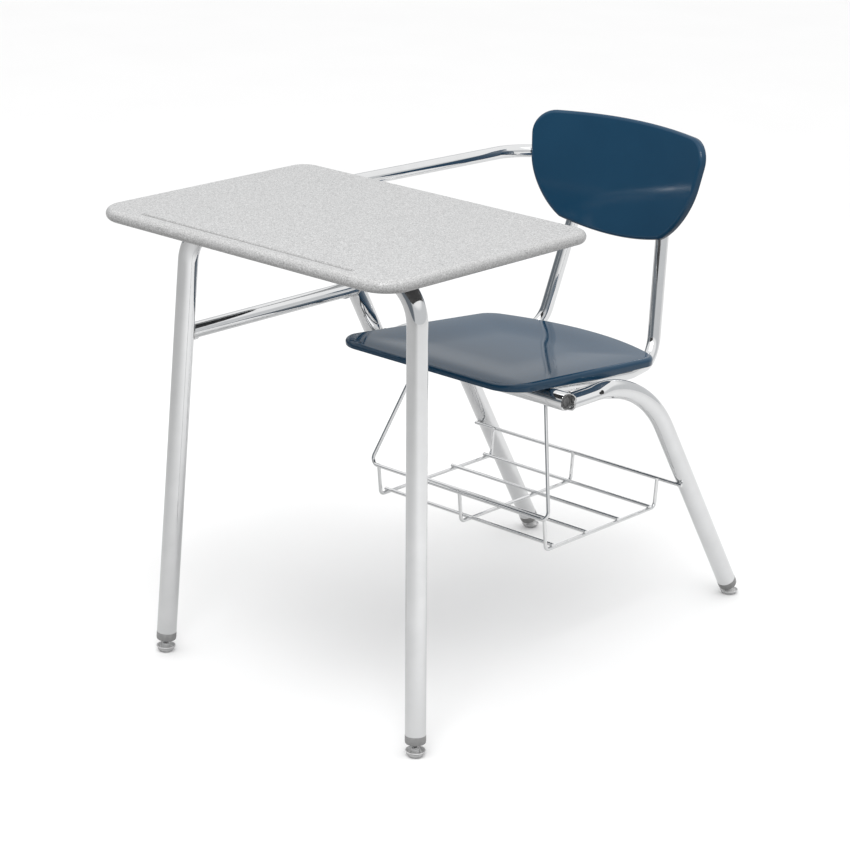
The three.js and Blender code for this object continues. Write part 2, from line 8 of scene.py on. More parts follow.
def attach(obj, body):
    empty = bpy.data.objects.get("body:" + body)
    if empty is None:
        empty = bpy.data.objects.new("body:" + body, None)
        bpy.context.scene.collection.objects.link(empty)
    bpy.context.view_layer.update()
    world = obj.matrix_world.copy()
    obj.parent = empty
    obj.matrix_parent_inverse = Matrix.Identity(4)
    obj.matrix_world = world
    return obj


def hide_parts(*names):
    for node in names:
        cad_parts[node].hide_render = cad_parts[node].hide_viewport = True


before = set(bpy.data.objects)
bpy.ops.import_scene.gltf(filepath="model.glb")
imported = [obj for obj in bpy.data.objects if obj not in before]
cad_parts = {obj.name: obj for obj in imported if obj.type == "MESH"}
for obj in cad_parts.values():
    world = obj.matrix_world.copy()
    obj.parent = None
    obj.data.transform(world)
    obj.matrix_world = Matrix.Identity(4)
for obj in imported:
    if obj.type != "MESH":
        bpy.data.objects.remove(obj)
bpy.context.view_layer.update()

# ---- dimensions, in millimetres, as in the CAD part ------------------------------------------
MM = 0.001
BODY = "frame_and_shells"

DESK = dict(width=610, depth=457, top=758, under=739, front_y=-499.6, front_corner=50, rear_corner=33)
# Below the depth under the top given by the last entry, the groove's faces get a darker painted shade.
GROOVE = dict(half=220, from_front=24, depth=2.5, width=8, shade_depth=1.3)
DESK_RIM = 9.3

LEG_R, BAR_R, BRACE_R, RAIL_R = 15.875, 14.3, 12.7, 11.1
WALL = 1.65
TOUCH = 0.05
FRAME_TOP_Z = DESK["under"] - 0.3 - LEG_R
FRONT_BEND = 66
REAR_BEND, REAR_RUN_Z = 215, 453
SEAT_BAR = dict(y=14.4, z=455, half=220)
SLEEVE = dict(length=34, thick=0.7)
FLAT = dict(length=74, blend=26, wider=1.2, lower=0.7)
SUPPORT_X = -249.32
SUPPORT = dict(ref_y=70.8, ref_z=460, slope_y=-0.5586, low_z=436, front_y=-248, bend=60)
BRACE_Z = 543.5
ARM_Z = DESK["under"] - RAIL_R - 0.6
ARM = [(-249, -95, ARM_Z), (-218, 420.4, ARM_Z), (-80, 430.4, ARM_Z)]
ARM_BEND = 85
RAIL = dict(x=150, front_z=455, kink_y=265.4, kink_z=432.5, corner_z=426, bends=(90, 52))
UPRIGHT = dict(ref_x=119.6, ref_y=367.5, ref_z=450, slope_x=-0.136, slope_y=0.2267, top_z=786)

SEAT = dict(front_half=191, rear_half=185, front_y=-86.6, side_y=291.5, rear_y=345, front_z=494,
            rear_z=457.4, front_corner=47, rear_corner=24, wall=5, dish=4, skirt=14.8,
            front_skirt=9.5, sag=3.4, sag_y=139, sag_spread=75, lip=50, lip_drop=4.5)
BACK = dict(top_half=185, low_half=164, top_z=811, top_side_z=805, low_z=617, low_side_z=664,
            top_corner=42, low_corner=66, y=395.4, at_z=650, lean=0.222, bow=0.00112, wall=5,
            skirt=13)
SEAT_SCREW_Y = (103, 228)
BACK_SCREW_Z = (664, 742)

BALL_Z, COLLAR_LOW, COLLAR_HIGH = 11.5, 21.3, 34.3

BASKET = dict(front_y=11.9, front_z=248.2, front_half=195.3, hang_half=137, hang_y=63.4, hang_z=431,
              rail_y=321.2, rail_z=240.5, rail_half=229, rail_r=3.1, rib_r=3, rib_x=181.5,
              rib_z=192.5, rib_bend=9, rod_half=185, rod_y=39.4, rod_pitch=85, rods=4)


def vec(*v):
    return np.array(v, float)


def unit(v):
    return v / np.linalg.norm(v)


def front_leg(side, z):
    return vec(side * (276.1 - 0.0545 * z), -382.6 + 0.0305 * z, z)


def rear_leg(side, z):
    return vec(side * (226.3 - 0.0206 * z), 490.8 - 0.6117 * z, z)


def upright(side, z):
    up = z - UPRIGHT["ref_z"]
    x = UPRIGHT["ref_x"] + UPRIGHT["slope_x"] * up
    return vec(side * x, UPRIGHT["ref_y"] + UPRIGHT["slope_y"] * up, z)


def rail(side, y):
    share = (y - SEAT_BAR["y"]) / (RAIL["kink_y"] - SEAT_BAR["y"])
    return vec(side * RAIL["x"], y, RAIL["front_z"] + share * (RAIL["kink_z"] - RAIL["front_z"]))


def along(leg, side, distance):
    foot = leg(side, 0)
    return foot + distance * unit(leg(side, 1) - foot)


# ---- materials ---------------------------------------------------------------------------------
class Nodes:
    """A material's node tree with short calls for what the materials below share."""

    def __init__(self, name, **sockets):
        self.material = bpy.data.materials.new(name)
        self.material.use_nodes = True
        self.tree = self.material.node_tree
        self.shader = self.tree.nodes["Principled BSDF"]
        for socket, value in sockets.items():
            self.shader.inputs[socket.replace("_", " ")].default_value = value
        self.where = self.add("ShaderNodeTexCoord").outputs["Object"]

    def add(self, kind, **settings):
        node = self.tree.nodes.new(kind)
        for key, value in settings.items():
            setattr(node, key, value)
        return node

    def link(self, out, into):
        self.tree.links.new(out, into)

    def noise(self, scale, detail=2.0, roughness=0.5):
        node = self.add("ShaderNodeTexNoise")
        node.inputs["Scale"].default_value = scale
        node.inputs["Detail"].default_value = detail
        node.inputs["Roughness"].default_value = roughness
        self.link(self.where, node.inputs["Vector"])
        return node.outputs["Fac"]

    def ramp(self, value, *stops):
        node = self.add("ShaderNodeValToRGB")
        ramp = node.color_ramp
        ramp.elements[0].position, ramp.elements[0].color = stops[0][0], (*stops[0][1], 1)
        ramp.elements[1].position, ramp.elements[1].color = stops[-1][0], (*stops[-1][1], 1)
        for position, colour in stops[1:-1]:
            ramp.elements.new(position).color = (*colour, 1)
        self.link(value, node.inputs["Fac"])
        return node.outputs["Color"]

    def spread(self, value, low, high):
        node = self.add("ShaderNodeMapRange")
        node.inputs["From Min"].default_value = 0.3
        node.inputs["From Max"].default_value = 0.7
        node.inputs["To Min"].default_value = low
        node.inputs["To Max"].default_value = high
        self.link(value, node.inputs["Value"])
        return node.outputs["Result"]

    def mix(self, share, a, b):
        node = self.add("ShaderNodeMix", data_type="RGBA")
        self.link(share, node.inputs["Factor"])
        self.link(a, node.inputs[6])
        self.link(b, node.inputs[7])
        return node.outputs[2]

    def bump(self, height, strength, distance, under=None):
        node = self.add("ShaderNodeBump")
        node.inputs["Strength"].default_value = strength
        node.inputs["Distance"].default_value = distance
        self.link(height, node.inputs["Height"])
        if under is not None:
            self.link(under, node.inputs["Normal"])
        return node.outputs["Normal"]

    def finish(self, colour, roughness, normal):
        self.link(colour, self.shader.inputs["Base Color"])
        self.link(roughness, self.shader.inputs["Roughness"])
        self.link(normal, self.shader.inputs["Normal"])
        return self.material


def grey(v):
    return (v, v, v)


def chrome():
    """Bright plate with faint smears and the slight waviness of drawn tube."""
    n = Nodes("chrome_plate", Metallic=1.0)
    smear = n.noise(22, 4, 0.6)
    colour = n.ramp(smear, (0.3, (0.71, 0.715, 0.72)), (0.7, (0.76, 0.765, 0.77)))
    roughness = n.spread(n.noise(60, 3, 0.6), 0.03, 0.075)
    wave = n.bump(n.noise(35, 1), 0.05, 0.0006)
    return n.finish(colour, roughness, wave)


def navy_plastic():
    """Glossy moulded plastic: faint flow marks, fine orange peel, and a painted highlight that makes the
    sharp edges lighter.
    """
    n = Nodes("navy_moulded_plastic", IOR=1.34)
    flow = n.ramp(n.noise(9, 3, 0.55), (0.3, (0.0098, 0.045, 0.09)), (0.7, (0.0112, 0.050, 0.098)))
    edge = n.add("ShaderNodeNewGeometry").outputs["Pointiness"]
    # Painted highlight: where the surface is sharply convex (pointiness), a paler blue is mixed in,
    # standing in for light caught along the edges.
    edge_highlight_share = n.ramp(edge, (0.52, grey(0.0)), (0.6, grey(0.35)))
    edge_highlight_colour = n.ramp(n.noise(500, 2), (0.3, (0.02, 0.062, 0.11)), (0.7, (0.028, 0.075, 0.125)))
    roughness = n.spread(n.noise(45, 4, 0.65), 0.05, 0.1)
    peel = n.bump(n.noise(420, 2), 0.04, 0.0003)
    return n.finish(n.mix(edge_highlight_share, flow, edge_highlight_colour), roughness, n.bump(n.noise(18, 2), 0.02, 0.002, peel))


def desk_plastic():
    """Speckled light grey hard plastic with a fine moulded grain."""
    n = Nodes("speckled_grey_plastic", IOR=1.45)
    fleck = n.noise(560, 2, 0.7)
    base = n.ramp(fleck, (0.34, grey(0.22)), (0.46, grey(0.39)), (0.55, grey(0.46)), (0.68, grey(0.66)))
    cloud = n.ramp(n.noise(14, 4, 0.6), (0.3, (0.41, 0.412, 0.41)), (0.7, (0.45, 0.452, 0.45)))
    share = n.ramp(n.noise(260, 2), (0.35, grey(0.1)), (0.65, grey(0.3)))
    roughness = n.spread(n.noise(300, 3), 0.22, 0.34)
    grain = n.bump(n.noise(1500, 2), 0.22, 0.0002)
    return n.finish(n.mix(share, base, cloud), roughness, grain)


def satin(name, low, high, rough, scale, metallic=0.0):
    n = Nodes(name, Metallic=metallic)
    colour = n.ramp(n.noise(scale, 3, 0.6), (0.3, low), (0.7, high))
    roughness = n.spread(n.noise(scale * 2.3, 3), rough - 0.06, rough + 0.06)
    return n.finish(colour, roughness, n.bump(n.noise(scale * 6, 2), 0.12, 0.0002))


MATERIALS = {
    "chrome_tube": chrome(),
    "navy_plastic": navy_plastic(),
    "desktop_plastic": desk_plastic(),
    "grey_plastic": satin("grey_collar_plastic", grey(0.25), grey(0.31), 0.42, 160),
    "black_plastic": satin("black_plug_plastic", grey(0.018), grey(0.03), 0.4, 160),
    "zinc_steel": satin("plated_steel", grey(0.42), grey(0.55), 0.24, 120, 1.0),
}
GREY_PLUG = satin("grey_plug_plastic", grey(0.16), grey(0.22), 0.35, 160)
# Painted shade: a near-black copy of the desk plastic for the desk's underside, standing in for the shade
# under the top.
UNDERSIDE_PAINTED_SHADE = satin("desk_underside_painted_shade", grey(0.05), grey(0.07), 0.55, 90)
GLIDE_STEEL = satin("glide_plated_steel", grey(0.6), grey(0.75), 0.46, 120, 0.55)
# Painted shade for the inside of the pencil groove.
GROOVE_PAINTED_SHADE = satin("desk_groove_painted_shade", grey(0.2), grey(0.3), 0.5, 560)
WELD = satin("weld_bead", grey(0.45), grey(0.58), 0.2, 300, 1.0)


# ---- mesh making -------------------------------------------------------------------------------
def piece(name, parts, slot, nodes=(), body=BODY, sharp=35):
    """One object from a list of (vertices in mm, faces), in place of the named CAD nodes."""
    verts, faces = [], []
    for part_verts, part_faces in parts:
        start = len(verts)
        verts.extend(tuple(float(c) * MM for c in v) for v in part_verts)
        faces.extend(tuple(int(i) + start for i in f) for f in part_faces)
    mesh = bpy.data.meshes.new(name)
    mesh.from_pydata(verts, [], faces)
    mesh.validate()
    mesh.materials.append(MATERIALS[slot])
    mesh.shade_smooth()
    mesh.set_sharp_from_angle(angle=math.radians(sharp))
    obj = bpy.data.objects.new(name, mesh)
    bpy.context.scene.collection.objects.link(obj)
    if nodes:
        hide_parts(*nodes)
    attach(obj, body)
    return obj


def bent_path(corners, bends, step=3.0, run=25.0):
    """Points and tangents along straight runs joined by round bends."""
    corners = [vec(*c) for c in corners]
    points, tangents = [corners[0]], [unit(corners[1] - corners[0])]
    for i, radius in enumerate(bends, 1):
        into, out = unit(corners[i] - corners[i - 1]), unit(corners[i + 1] - corners[i])
        turn = math.acos(np.clip(into @ out, -1, 1))
        start = corners[i] - into * radius * math.tan(turn / 2)
        inward = np.cross(unit(np.cross(into, out)), into)
        centre = start + inward * radius
        count = max(2, math.ceil(math.degrees(turn) / step))
        for k in range(count + 1):
            a = turn * k / count
            points.append(centre + radius * (into * math.sin(a) - inward * math.cos(a)))
            tangents.append(into * math.cos(a) + inward * math.sin(a))
    points.append(corners[-1])
    tangents.append(unit(corners[-1] - corners[-2]))
    out_points, out_tangents = [points[0]], [tangents[0]]
    for p, q, t in zip(points, points[1:], tangents[1:]):
        parts = max(1, math.ceil(np.linalg.norm(q - p) / run))
        for k in range(1, parts + 1):
            out_points.append(p + (q - p) * k / parts)
            out_tangents.append(t if k == parts else unit(q - p))
    return np.array(out_points), np.array(out_tangents)


def rings_along(points, tangents, radius, sides):
    """One ring of points round each station, carried along without twisting."""
    aside = vec(1, 0, 0) if abs(tangents[0][0]) < 0.9 else vec(0, 0, 1)
    normal = unit(np.cross(tangents[0], aside))
    angles = np.linspace(0, 2 * math.pi, sides, endpoint=False)
    radii = np.broadcast_to(radius, len(points))
    rings = []
    for point, tangent, r in zip(points, tangents, radii):
        normal = unit(normal - tangent * (normal @ tangent))
        across = np.cross(tangent, normal)
        rings.append(point + r * (np.outer(np.cos(angles), normal) + np.outer(np.sin(angles), across)))
    return np.array(rings)


def strip(count, sides, start=0, flip=False, closed=False):
    """Faces between `count` rings of `sides` points."""
    faces = []
    for i in range(count if closed else count - 1):
        j = (i + 1) % count
        for k in range(sides):
            m = (k + 1) % sides
            face = (i * sides + k, i * sides + m, j * sides + m, j * sides + k)
            face = tuple(start + f for f in face)
            faces.append(face[::-1] if flip else face)
    return faces


def skin(rings):
    """A solid bar: rings with both ends filled."""
    count, sides = rings.shape[:2]
    verts = rings.reshape(-1, 3)
    ends = [tuple(range(sides))[::-1], tuple(range((count - 1) * sides, count * sides))]
    return verts, strip(count, sides) + ends


def tube_wall(outer, inner):
    """A tube: an outer and an inner skin joined at both ends."""
    count, sides = outer.shape[:2]
    total = count * sides
    verts = np.concatenate([outer.reshape(-1, 3), inner.reshape(-1, 3)])
    faces = strip(count, sides) + strip(count, sides, total, flip=True)
    last = (count - 1) * sides
    for k in range(sides):
        m = (k + 1) % sides
        faces.append((m, k, total + k, total + m))
        faces.append((last + k, last + m, total + last + m, total + last + k))
    return verts, faces


def distance_to(points, line):
    """Distance from each point to a polyline."""
    a, d = line[:-1], np.diff(line, axis=0)
    along_ = ((points[:, None] - a) * d).sum(2) / (d * d).sum(1)
    nearest = a + np.clip(along_, 0, 1)[..., None] * d
    return np.linalg.norm(points[:, None] - nearest, axis=2).min(1)


def cope(rings, end, line, radius):
    """Runs an end ring on until each of its points meets the tube of that radius along `line`."""
    ring, before = (rings[0], rings[1]) if end == 0 else (rings[-1], rings[-2])
    way = unit(ring.mean(0) - before.mean(0))
    steps = np.linspace(-18, 24, 337)
    for k, point in enumerate(ring):
        distance = distance_to(point + steps[:, None] * way, line) - radius
        hit = np.argmax(distance <= 0) if (distance <= 0).any() else int(np.argmin(distance))
        ring[k] = point + steps[hit] * way
    return ring


def bead(ring, radius=1.7, lumps=19):
    """A weld bead along a closed ring of points."""
    count = len(ring)
    centre = ring.mean(0)
    tangents = np.array([unit(ring[(k + 1) % count] - ring[k - 1]) for k in range(count)])
    sides = 10
    angles = np.linspace(0, 2 * math.pi, sides, endpoint=False)
    rings = []
    for k, (point, tangent) in enumerate(zip(ring, tangents)):
        outward = point - centre
        outward = unit(outward - tangent * (outward @ tangent))
        across = np.cross(tangent, outward)
        r = radius * (1 + 0.14 * math.sin(lumps * 2 * math.pi * k / count))
        rings.append(point + 0.3 * outward + r * (
            np.outer(np.cos(angles), outward) + np.outer(np.sin(angles), across)))
    rings = np.array(rings)
    return rings.reshape(-1, 3), strip(count, sides, closed=True)


def tube(corners, bends, radius, sides=48, run=25.0, copes=(), shape=None):
    """A bent tube; `copes` are (end, line, radius) of the tubes that its ends are welded to."""
    points, tangents = bent_path(corners, bends, run=run)
    outer = rings_along(points, tangents, radius, sides)
    inner = rings_along(points, tangents, radius - WALL, sides)
    if shape:
        outer, inner = shape(outer), shape(inner)
    beads = []
    for end, line, target in copes:
        cope(inner, end, line, target + TOUCH)
        beads.append(bead(cope(outer, end, line, target + TOUCH)))
    return [tube_wall(outer, inner)], beads, points


def turned(profile, base, direction, sides=48):
    """A turned piece from [radius, height] pairs; a pair on the axis becomes one point."""
    axis = unit(vec(*direction))
    aside = unit(np.cross(axis, vec(0, 0, 1) if abs(axis[2]) < 0.9 else vec(1, 0, 0)))
    across = np.cross(axis, aside)
    angles = np.linspace(0, 2 * math.pi, sides, endpoint=False)
    verts, rows = [], []
    for radius, height in profile:
        centre = vec(*base) + axis * height
        if radius < 1e-6:
            rows.append([len(verts)] * sides)
            verts.append(centre)
        else:
            rows.append(list(range(len(verts), len(verts) + sides)))
            verts.extend(centre + radius * (math.cos(a) * aside + math.sin(a) * across) for a in angles)
    faces = []
    for low, high in zip(rows, rows[1:]):
        for k in range(sides):
            m = (k + 1) % sides
            face = list(dict.fromkeys((low[k], low[m], high[m], high[k])))
            if len(face) > 2:
                faces.append(tuple(face))
    return np.array(verts), faces


def arc(cx, cy, radius, start, end, count, squash=1.0):
    """Points on an arc in a profile, in degrees."""
    return [(cx + radius * math.cos(math.radians(start + (end - start) * k / count)),
             cy + squash * radius * math.sin(math.radians(start + (end - start) * k / count)))
            for k in range(count + 1)]


def drop(centre, radii):
    """A small weld spot: a squashed ball."""
    rows = arc(0, 0, 1, -90, 90, 8)
    verts, faces = turned([(max(r, 0), h) for r, h in rows[:1]] + rows[1:-1] + [(0, 1)], (0, 0, 0),
                          (0, 0, 1), 14)
    return verts * vec(*radii) + vec(*centre), faces


# ---- desktop -----------------------------------------------------------------------------------
def rounded_outline(half_x, half_y, front, rear, count=20):
    points = []
    for sx, sy, radius, start in ((1, 1, rear, 0), (-1, 1, rear, 90), (-1, -1, front, 180),
                                  (1, -1, front, 270)):
        cx, cy = sx * (half_x - radius), sy * (half_y - radius)
        points += arc(cx, cy, radius, start, start + 90, count)
    return np.array(points)


def desktop():
    half_x, half_y = DESK["width"] / 2, DESK["depth"] / 2
    thick = DESK["top"] - DESK["under"]
    mid_z, mid_y = DESK["under"] + thick / 2, DESK["front_y"] + half_y
    edge = [(DESK_RIM + 6, thick / 2), (DESK_RIM + 2, thick / 2)]
    edge += [(DESK_RIM * (1 - math.sin(a)), thick / 2 * math.cos(a))
             for a in np.linspace(0, math.pi, 25)]
    edge += [(DESK_RIM + 2, -thick / 2), (DESK_RIM + 6, -thick / 2)]
    rings = []
    for inset, height in edge:
        outline = rounded_outline(half_x - inset, half_y - inset, DESK["front_corner"] - inset,
                                  DESK["rear_corner"] - inset)
        rings.append(np.column_stack([outline, np.full(len(outline), height)]) + vec(0, mid_y, mid_z))
    rings = np.array(rings)[::-1]
    slab = piece("desk_top", [skin(rings)], "desktop_plastic", ["desktop"], sharp=40)
    return carve(slab, groove_tool())


def groove_tool():
    """A long round-ended rod that lies in the desktop as deep as the groove."""
    half_width, depth = GROOVE["width"] / 2, GROOVE["depth"]
    radius = (half_width ** 2 + depth ** 2) / (2 * depth)
    y, z = DESK["front_y"] + GROOVE["from_front"], DESK["top"] + radius - depth
    reach = GROOVE["half"] - half_width
    profile = arc(0, -reach, radius, -90, 0, 12) + arc(0, reach, radius, 0, 90, 12)
    profile[0], profile[-1] = (0, -reach - radius), (0, reach + radius)
    return turned(profile, (0, y, z), (1, 0, 0), 96)


def carve(target, tool):
    mesh = bpy.data.meshes.new("carving_tool")
    mesh.from_pydata([tuple(v * MM) for v in tool[0]], [], tool[1])
    cutter = bpy.data.objects.new("carving_tool", mesh)
    bpy.context.scene.collection.objects.link(cutter)
    cutter.hide_render = True
    modifier = target.modifiers.new("groove", "BOOLEAN")
    modifier.operation, modifier.object, modifier.solver = "DIFFERENCE", cutter, "EXACT"
    bpy.context.view_layer.update()
    graph = bpy.context.evaluated_depsgraph_get()
    carved = bpy.data.meshes.new_from_object(target.evaluated_get(graph))
    target.modifiers.clear()
    target.data = carved
    bpy.data.objects.remove(cutter)
    while len(carved.materials) > 1:
        carved.materials.pop()
    carved.materials.append(UNDERSIDE_PAINTED_SHADE)
    carved.materials.append(GROOVE_PAINTED_SHADE)
    groove_y = (DESK["front_y"] + GROOVE["from_front"]) * MM
    for face in carved.polygons:
        # Downward faces under the desk get the painted-shade underside material.
        below = face.normal.z < -0.97 and face.center.z < DESK["under"] * MM + 1e-3
        # Faces deep in the groove get the painted-shade groove material.
        in_groove = (abs(face.center.x) < GROOVE["half"] * MM and face.center.z > DESK["under"] * MM + 4e-3
                     and abs(face.center.y - groove_y) < GROOVE["width"] / 2 * MM
                     and face.center.z < (DESK["top"] - GROOVE["shade_depth"]) * MM)
        face.material_index = 1 if below else 2 if in_groove else 0
    carved.shade_smooth()
    carved.set_sharp_from_angle(angle=math.radians(25))
    return target


desktop()


# ---- screws ------------------------------------------------------------------------------------
def screw(under_head, direction, length):
    """Pan head with a cross recess, and a plain shank."""
    head, high, shank = 5.0, 3.0, 2.4
    axis = unit(vec(*direction))
    aside = unit(np.cross(axis, vec(0, 0, 1) if abs(axis[2]) < 0.9 else vec(1, 0, 0)))
    across = np.cross(axis, aside)
    sides = 64
    dome = [(0, -high), (0.5, -high), (0.9, -high), (1.3, -high), (1.8, -high + 0.05),
            (2.3, -high + 0.12), (2.8, -high + 0.25), (3.4, -high + 0.5), (4.2, -high + 1.0),
            (4.8, -high + 1.8), (head, -0.5), (head - 0.1, 0), (shank, 0), (shank, length - 2),
            (0, length)]
    verts, faces = turned(dome, under_head, direction, sides)
    offset = verts - vec(*under_head)
    height, u, v = offset @ axis, offset @ aside, offset @ across
    radius = np.hypot(u, v)
    arm = np.minimum(np.abs(u), np.abs(v))
    inside = (height < -high + 0.4) & (arm < 0.62) & (radius < 2.6)
    verts = verts + np.where(inside, 1.3 * (1 - radius / 4.2), 0)[:, None] * axis
    return verts, faces


front_screws = [vec(x, front_leg(1, FRAME_TOP_Z)[1], FRAME_TOP_Z) for x in (-165, -60, 60, 165)]
support_screws = [vec(SUPPORT_X, y, FRAME_TOP_Z) for y in (-147, -212)]
for i, place in enumerate(front_screws + support_screws, 1):
    piece(f"desk_mounting_screw_{i}", [screw(place - vec(0, 0, LEG_R + 0.1), (0, 0, 1), 45)],
          "zinc_steel", [f"desk_screw_{i}"])
for side, word in ((1, "left"), (-1, "right")):
    for i, y in enumerate(SEAT_SCREW_Y, 1):
        piece(f"seat_mounting_screw_{word}_{i}",
              [screw(rail(side, y) - vec(0, 0, RAIL_R + 0.1), (0, 0, 1), 28)],
              "zinc_steel", [f"seat_screw_{word}_{i}"])
    for i, z in enumerate(BACK_SCREW_Z, 1):
        piece(f"back_mounting_screw_{word}_{i}",
              [screw(upright(side, z) + vec(0, RAIL_R + 0.7, 0), (0, -1, 0), 30)],
              "zinc_steel", [f"back_screw_{word}_{i}"])


# ---- tube frame --------------------------------------------------------------------------------
def plug(end, outward, tube_r):
    """Push-in end plug set inside the tube's cut edge: a round lip about a low domed centre."""
    fit = tube_r - WALL - 0.15
    profile = [(0, -14), (fit - 1.2, -14), (fit, -12.5), (fit, -1.6)]
    profile += arc(fit - 1.1, -0.9, 1.1, 0, 180, 8)
    profile += [(fit - 2.5, -2.2), (fit - 3.2, -2.6), (0.5 * tube_r, -2.6)]
    profile += arc(0.5 * tube_r - 1.4, -1.9, 1.2, 0, 90, 4)
    profile += [(0.2 * tube_r, -0.5), (0, -0.4)]
    return turned(profile, end, outward, 56)


front_path = [along(front_leg, -1, COLLAR_HIGH + 0.3), front_leg(-1, FRAME_TOP_Z),
              front_leg(1, FRAME_TOP_Z), along(front_leg, 1, COLLAR_HIGH + 0.3)]
parts, _, _ = tube(front_path, [FRONT_BEND, FRONT_BEND], LEG_R, 56)
piece("front_leg_tube", parts, "chrome_tube", ["front_leg_frame"])

bar_ends = [vec(s * SEAT_BAR["half"], SEAT_BAR["y"], SEAT_BAR["z"]) for s in (-1, 1)]
parts, _, bar_line = tube(bar_ends, [], BAR_R, 56)
piece("seat_crossbar_tube", parts, "chrome_tube", ["seat_crossbar"])
for end, s, word in ((bar_ends[0], -1, "right"), (bar_ends[1], 1, "left")):
    plug_piece = piece(f"crossbar_end_plug_{word}", [plug(end, (s, 0, 0), BAR_R)], "black_plastic",
                       [f"crossbar_plug_{word}"])
    plug_piece.data.materials[0] = GREY_PLUG
    bore, skin_r = BAR_R + 0.02, BAR_R + SLEEVE["thick"]
    sleeve = [(bore, -SLEEVE["length"]), (skin_r - 0.2, 0.4 - SLEEVE["length"]),
              (skin_r, 1.4 - SLEEVE["length"]), (skin_r, -0.6), (skin_r - 0.3, -0.1), (bore, -0.1),
              (bore, -SLEEVE["length"])]
    piece(f"crossbar_end_sleeve_{word}", [turned(sleeve, end, (s, 0, 0), 56)], "chrome_tube")

def support_at(z):
    return vec(SUPPORT_X, SUPPORT["ref_y"] + SUPPORT["slope_y"] * (z - SUPPORT["ref_z"]), z)


support_corners = [support_at(SUPPORT["low_z"]), support_at(FRAME_TOP_Z),
                   (SUPPORT_X, SUPPORT["front_y"], FRAME_TOP_Z)]
parts, _, support_line = tube(support_corners, [SUPPORT["bend"]], LEG_R, 56)
piece("side_support_bent_tube", parts, "chrome_tube", ["side_support_tube"])
piece("support_end_plug_rear", [plug(support_corners[0], unit(support_at(0) - support_at(1)), LEG_R)],
      "black_plastic", ["support_plug_rear"])
piece("support_end_plug_front", [plug(support_corners[2], (0, -1, 0), LEG_R)], "black_plastic",
      ["support_plug_front"])

run_front_y = SEAT_BAR["y"] + BAR_R + 0.6
CAP_Y, CAP_R = (-4.5, -4, -2.5, 3), (-3, -1.2, -0.05, -0.05)
welds = []


def pressed_flat(side):
    """Presses the front of a rear leg's level run flat; the right one stays straight outside."""
    axis_x = rear_leg(side, REAR_RUN_Z)[0]
    end = run_front_y + FLAT["length"]

    def shape(rings):
        t = np.clip((rings[..., 1] - end + FLAT["blend"]) / (2 * FLAT["blend"]), 0, 1)
        t = np.where(rings[..., 2] > REAR_RUN_Z - 2 * LEG_R, t * t * (3 - 2 * t), 1)
        x, z = rings[..., 0] - axis_x, rings[..., 2] - REAR_RUN_Z
        wide, low = FLAT["wider"] + (1 - FLAT["wider"]) * t, FLAT["lower"] + (1 - FLAT["lower"]) * t
        shift = (FLAT["wider"] - 1) * LEG_R * (1 - t) if side < 0 else 0
        return np.stack([axis_x + x * wide + shift, rings[..., 1], REAR_RUN_Z + z * low], -1)
    return shape


for side, word in ((1, "left"), (-1, "right")):
    corner = rear_leg(side, REAR_RUN_Z)
    corners = [(corner[0], run_front_y, REAR_RUN_Z), corner,
               along(rear_leg, side, COLLAR_HIGH + 0.3)]
    parts, beads, _ = tube(corners, [REAR_BEND], LEG_R, 56, run=8,
                              copes=[(0, bar_line, BAR_R)], shape=pressed_flat(side))
    piece(f"{word}_rear_leg_tube", parts, "chrome_tube", [f"{word}_rear_leg"])
    welds += beads
    cap_points = np.array([(corner[0], run_front_y + y, REAR_RUN_Z) for y in CAP_Y])
    cap_rings = rings_along(cap_points, np.tile(vec(0, 1, 0), (len(CAP_Y), 1)),
                            np.array(CAP_R) + LEG_R - WALL, 56)
    piece(f"{word}_leg_end_cap", [skin(pressed_flat(side)(cap_rings))], "chrome_tube")

    corners = [rail(side, run_front_y), rail(side, RAIL["kink_y"]),
               upright(side, RAIL["corner_z"]), upright(side, UPRIGHT["top_z"])]
    parts, beads, _ = tube(corners, RAIL["bends"], RAIL_R, 44, copes=[(0, bar_line, BAR_R)])
    piece(f"{word}_back_tube", parts, "chrome_tube", [f"{word}_back_frame"])
    welds += beads
    outward = unit(upright(side, 1) - upright(side, 0))
    piece(f"{word}_upright_end_plug", [plug(corners[-1], outward, RAIL_R)], "black_plastic",
          [f"{word}_upright_plug"])


def eyelet(centre, outward, radius):
    """The rolled edge and floor of a hole punched in a tube's side, all drawn in black as painted shade for
    the dark inside of the hole.
    """
    profile = [(0, -1.0), (radius - 0.6, -1.0), (radius - 0.5, -0.2)]
    profile += arc(radius, -0.1, 0.5, 180, 0, 8)
    profile += [(radius + 0.5, -1.6), (0, -1.6)]
    return turned(profile, centre, outward, 28)


leg_side = vec(LEG_R * FLAT["wider"] - 0.35, 0, 0)
hole_at = (84, 6.5)
for side, word in ((1, "left"), (-1, "right")):
    centre = vec(rear_leg(side, REAR_RUN_Z)[0], hole_at[0], REAR_RUN_Z + hole_at[1]) + side * leg_side
    # Painted shade: each hole is a black cup set into the chrome, standing in for the shade inside the
    # tube.
    piece(f"{word}_leg_hole_painted_shade", [eyelet(centre, (side, 0, 0.35), 2.8)], "black_plastic")

leg_line = np.array([front_leg(-1, BRACE_Z - 80), front_leg(-1, BRACE_Z + 80)])
brace_x, brace_y = front_leg(-1, BRACE_Z)[:2]
brace_end_y = support_at(BRACE_Z)[1]
parts, beads, _ = tube([(brace_x, brace_y + 12, BRACE_Z), (brace_x, brace_end_y - 14, BRACE_Z)], [],
                       BRACE_R, 48, copes=[(0, leg_line, LEG_R), (1, support_line, LEG_R)])
piece("side_brace_tube", parts, "chrome_tube", ["side_brace"])
welds += beads
nubs = [drop((brace_x, y, BRACE_Z - BRACE_R + 0.6), (5, 9, 3.4))
        for y in (brace_y + LEG_R + 7, brace_end_y - LEG_R - 9)]
piece("brace_weld_nubs", nubs, "chrome_tube")

